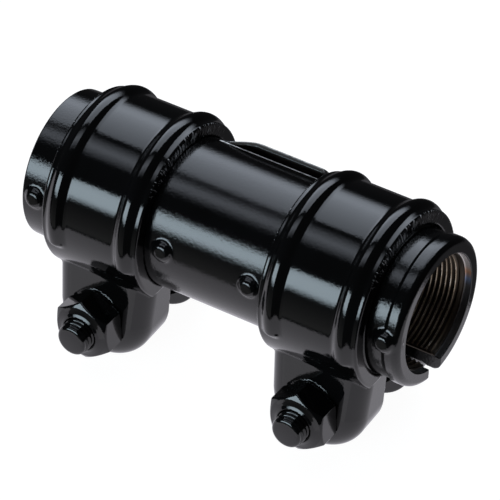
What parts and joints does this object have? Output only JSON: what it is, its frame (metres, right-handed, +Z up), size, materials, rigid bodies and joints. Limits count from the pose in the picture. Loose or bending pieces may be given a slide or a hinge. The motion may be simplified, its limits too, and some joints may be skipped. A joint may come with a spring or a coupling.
{
  "type": "threaded adjusting sleeve",
  "caption": "Internally threaded tube that joins two rods end to end, slit at both ends, with a pinch clamp, cross bolt and nut near each end.",
  "frame": {"origin": "on the sleeve's axis at half its length", "axes": "+X along the sleeve towards the end with the raised rim, +Y to the back (bolt heads), +Z up; the clamp ears hang towards -Z and the nuts face -Y"},
  "size_m": [0.1238, 0.065, 0.073],
  "materials": {
    "sleeve_paint": "gloss",
    "clamp_paint": "gloss",
    "bolt_paint": "gloss",
    "nut_paint": "gloss",
    "bore_steel": "satin"
  },
  "bodies": {
    "sleeve": {"sleeve": "sleeve_paint"},
    "clamp_left": {"clamp_left": "clamp_paint"},
    "clamp_right": {"clamp_right": "clamp_paint"},
    "bolt_left": {"bolt_left": "bolt_paint"},
    "bolt_right": {"bolt_right": "bolt_paint"},
    "nut_left": {"nut_left": "nut_paint"},
    "nut_right": {"nut_right": "nut_paint"}
  },
  "joints": [
    {"name": "clamp_left_turn", "type": "hinge", "parent": "sleeve", "child": "clamp_left", "pos_m": [-0.03625, 0, 0], "axis": [1, 0, 0], "continuous": true},
    {"name": "clamp_right_turn", "type": "hinge", "parent": "sleeve", "child": "clamp_right", "pos_m": [0.03535, 0, 0], "axis": [1, 0, 0], "continuous": true},
    {"name": "bolt_left_turn", "type": "hinge", "parent": "clamp_left", "child": "bolt_left", "pos_m": [-0.03625, 0, -0.0304], "axis": [0, 1, 0], "range_deg": [0, 2880]},
    {"name": "bolt_right_turn", "type": "hinge", "parent": "clamp_right", "child": "bolt_right", "pos_m": [0.03535, 0, -0.0304], "axis": [0, 1, 0], "range_deg": [0, 2880]},
    {"name": "nut_left_slide", "type": "slide", "parent": "clamp_left", "child": "nut_left", "axis": [0, -1, 0], "range_m": [0, 0.012]},
    {"name": "nut_right_slide", "type": "slide", "parent": "clamp_right", "child": "nut_right", "axis": [0, -1, 0], "range_m": [0, 0.012]}
  ],
  "couplings": [
    {"joint": "nut_left_slide", "follows": "bolt_left_turn", "m_per_rad": 0.00023873},
    {"joint": "nut_right_slide", "follows": "bolt_right_turn", "m_per_rad": 0.00023873}
  ]
}
